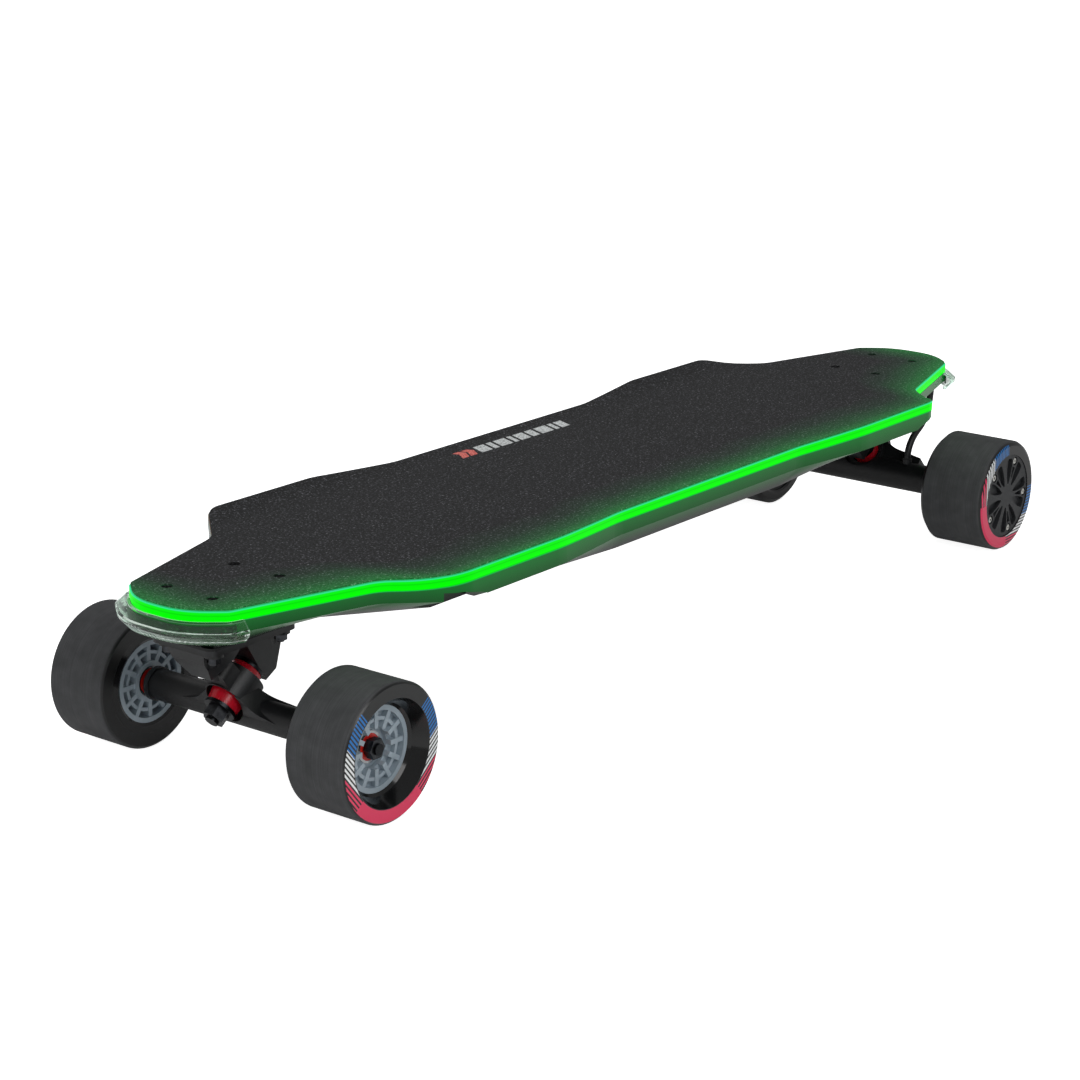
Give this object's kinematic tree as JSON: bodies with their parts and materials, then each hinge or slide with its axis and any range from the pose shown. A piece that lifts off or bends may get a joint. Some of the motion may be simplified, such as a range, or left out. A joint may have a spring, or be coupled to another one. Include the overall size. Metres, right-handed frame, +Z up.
{
  "type": "electric longboard skateboard",
  "caption": "Electric longboard with a shaped gritted deck over a battery shell, light strips and end lenses, steering trucks, cored front wheels and hub-motor rear wheels.",
  "frame": {"origin": "on the ground, below the middle of the board's length and width, all wheels touching the ground", "axes": "+X towards the nose (the end with the cored wheels), +Y towards the board's left, +Z up"},
  "size_m": [0.9798, 0.2926, 0.1453],
  "materials": {
    "grip_grit": "black silicon-carbide grit sheet",
    "laminate_core": "pressed maple laminate, clear sealed edge",
    "lamp_circuit": "flexible circuit with light diodes",
    "green_light": "milky diffuser strip, lit green",
    "unlit_diffuser": "milky diffuser strip, unlit",
    "gasket_tan": "tan silicone seal",
    "shell_gloss_black": "glossy black moulded shell",
    "black_oxide_steel": "black oxide steel",
    "clear_lens": "clear polycarbonate lens",
    "battery_wrap": "blue shrink wrap",
    "anodised_case": "grey anodised case",
    "black_plastic": "black moulded nylon",
    "black_rubber": "black rubber",
    "button_plastic": "dark grey push button",
    "truck_black": "satin black powder coat",
    "cup_urethane": "black urethane",
    "zinc_steel": "zinc-plated steel",
    "crimson_urethane": "crimson cast urethane",
    "tyre_urethane": "black cast urethane with printed sidewall",
    "core_plastic": "blue-grey moulded core",
    "bearing_steel": "ground bearing steel",
    "red_shield": "red bearing shield",
    "motor_shell": "black anodised motor can",
    "cap_plastic": "dark grey moulded cap",
    "bright_screw": "bright steel button-head screw",
    "winding_stack": "laminated stator with copper windings"
  },
  "bodies": {
    "deck": {"battery_pack": "battery_wrap", "charge_port": "black_plastic", "charge_port_plug": "black_rubber", "cup_washers": "zinc_steel", "deck_bolts": "black_oxide_steel", "deck_core": "laminate_core", "deck_nuts": "black_oxide_steel", "front_baseplate": "truck_black", "front_boardside_bushing": "crimson_urethane", "front_roadside_bushing": "crimson_urethane", "grip_tape": "grip_grit", "kingpin_nuts": "black_oxide_steel", "kingpins": "black_oxide_steel", "light_circuit": "lamp_circuit", "light_strip_left": "green_light", "light_strip_right": "unlit_diffuser", "motor_cable_left": "black_rubber", "motor_cable_right": "black_rubber", "motor_controller": "anodised_case", "nose_lamp_board": "lamp_circuit", "nose_lens": "clear_lens", "pivot_cups": "cup_urethane", "power_button_bezel": "black_plastic", "rear_baseplate": "truck_black", "rear_boardside_bushing": "crimson_urethane", "rear_roadside_bushing": "crimson_urethane", "riser_pads": "black_rubber", "shell_gasket": "gasket_tan", "shell_screws": "black_oxide_steel", "tail_lamp_board": "lamp_circuit", "tail_lens": "clear_lens", "under_shell": "shell_gloss_black"},
    "power_button": {"power_button": "button_plastic"},
    "front_hanger": {"front_hanger": "truck_black", "front_axles": "zinc_steel", "front_axle_nuts": "black_oxide_steel", "speed_washers": "zinc_steel"},
    "rear_hanger": {"rear_hanger": "truck_black", "rear_axles": "zinc_steel", "motor_stators": "winding_stack", "cable_glands": "black_plastic"},
    "front_left_wheel": {"front_left_tyre": "tyre_urethane", "front_left_core": "core_plastic", "front_left_bearings": "bearing_steel", "front_left_shields": "red_shield"},
    "rear_left_wheel": {"rear_left_tyre": "tyre_urethane", "rear_left_motor_can": "motor_shell", "rear_left_motor_cap": "cap_plastic", "rear_left_cap_screws": "bright_screw", "rear_left_bearings": "bearing_steel"},
    "front_right_wheel": {"front_right_tyre": "tyre_urethane", "front_right_core": "core_plastic", "front_right_bearings": "bearing_steel", "front_right_shields": "red_shield"},
    "rear_right_wheel": {"rear_right_tyre": "tyre_urethane", "rear_right_motor_can": "motor_shell", "rear_right_motor_cap": "cap_plastic", "rear_right_cap_screws": "bright_screw", "rear_right_bearings": "bearing_steel"}
  },
  "joints": [
    {"name": "front_steer", "type": "hinge", "parent": "deck", "child": "front_hanger", "pos_m": [0.4135, 0, 0.0615], "axis": [0.6157, 0, 0.788], "range_deg": [-14, 14], "stiffness_Nm_per_rad": 90, "deforming": ["front_boardside_bushing", "front_roadside_bushing"]},
    {"name": "rear_steer", "type": "hinge", "parent": "deck", "child": "rear_hanger", "pos_m": [-0.41438, 0, 0.05534], "axis": [-0.6157, 0, 0.788], "range_deg": [-14, 14], "stiffness_Nm_per_rad": 90, "deforming": ["rear_boardside_bushing", "rear_roadside_bushing", "motor_cable_left", "motor_cable_right"]},
    {"name": "front_left_spin", "type": "hinge", "parent": "front_hanger", "child": "front_left_wheel", "pos_m": [0.4055, 0, 0.048], "axis": [0, 1, 0], "continuous": true},
    {"name": "front_right_spin", "type": "hinge", "parent": "front_hanger", "child": "front_right_wheel", "pos_m": [0.4055, 0, 0.048], "axis": [0, 1, 0], "continuous": true},
    {"name": "rear_left_spin", "type": "hinge", "parent": "rear_hanger", "child": "rear_left_wheel", "pos_m": [-0.3985, 0, 0.048], "axis": [0, 1, 0], "continuous": true},
    {"name": "rear_right_spin", "type": "hinge", "parent": "rear_hanger", "child": "rear_right_wheel", "pos_m": [-0.3985, 0, 0.048], "axis": [0, 1, 0], "continuous": true},
    {"name": "power_button_press", "type": "slide", "parent": "deck", "child": "power_button", "axis": [0, 0, 1], "range_m": [0, 0.001], "stiffness_N_per_m": 1500}
  ]
}
